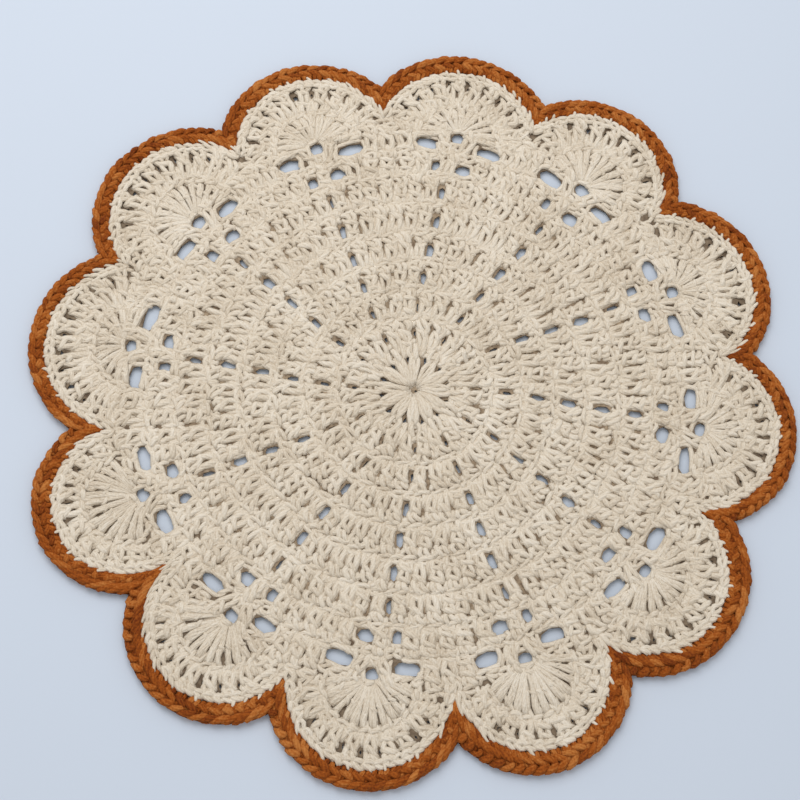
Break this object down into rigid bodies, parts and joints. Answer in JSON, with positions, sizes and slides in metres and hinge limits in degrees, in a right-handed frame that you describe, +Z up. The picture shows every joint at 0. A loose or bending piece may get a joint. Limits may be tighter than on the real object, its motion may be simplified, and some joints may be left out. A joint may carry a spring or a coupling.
{
  "type": "crocheted doily mat",
  "caption": "Round scalloped doily mat of cream cotton crochet, with radiating lines of eyelets, openwork flowers, fan scallops and a contrasting crocheted edging.",
  "frame": {"origin": "on the table, under the middle of the mat's box", "axes": "+Z up out of the mat's face, +X and +Y in the plane of the table, with the first scallop at a bearing of 22 degrees from +X towards +Y"},
  "size_m": [0.3756, 0.3782, 0.005],
  "materials": {
    "cream_cotton": "matt twisted cotton yarn in tall crochet stitches",
    "rust_cotton": "matt twisted cotton yarn in short crochet stitches"
  },
  "bodies": {
    "root": {"mat_body": "cream_cotton", "edging": "rust_cotton"}
  },
  "joints": []
}
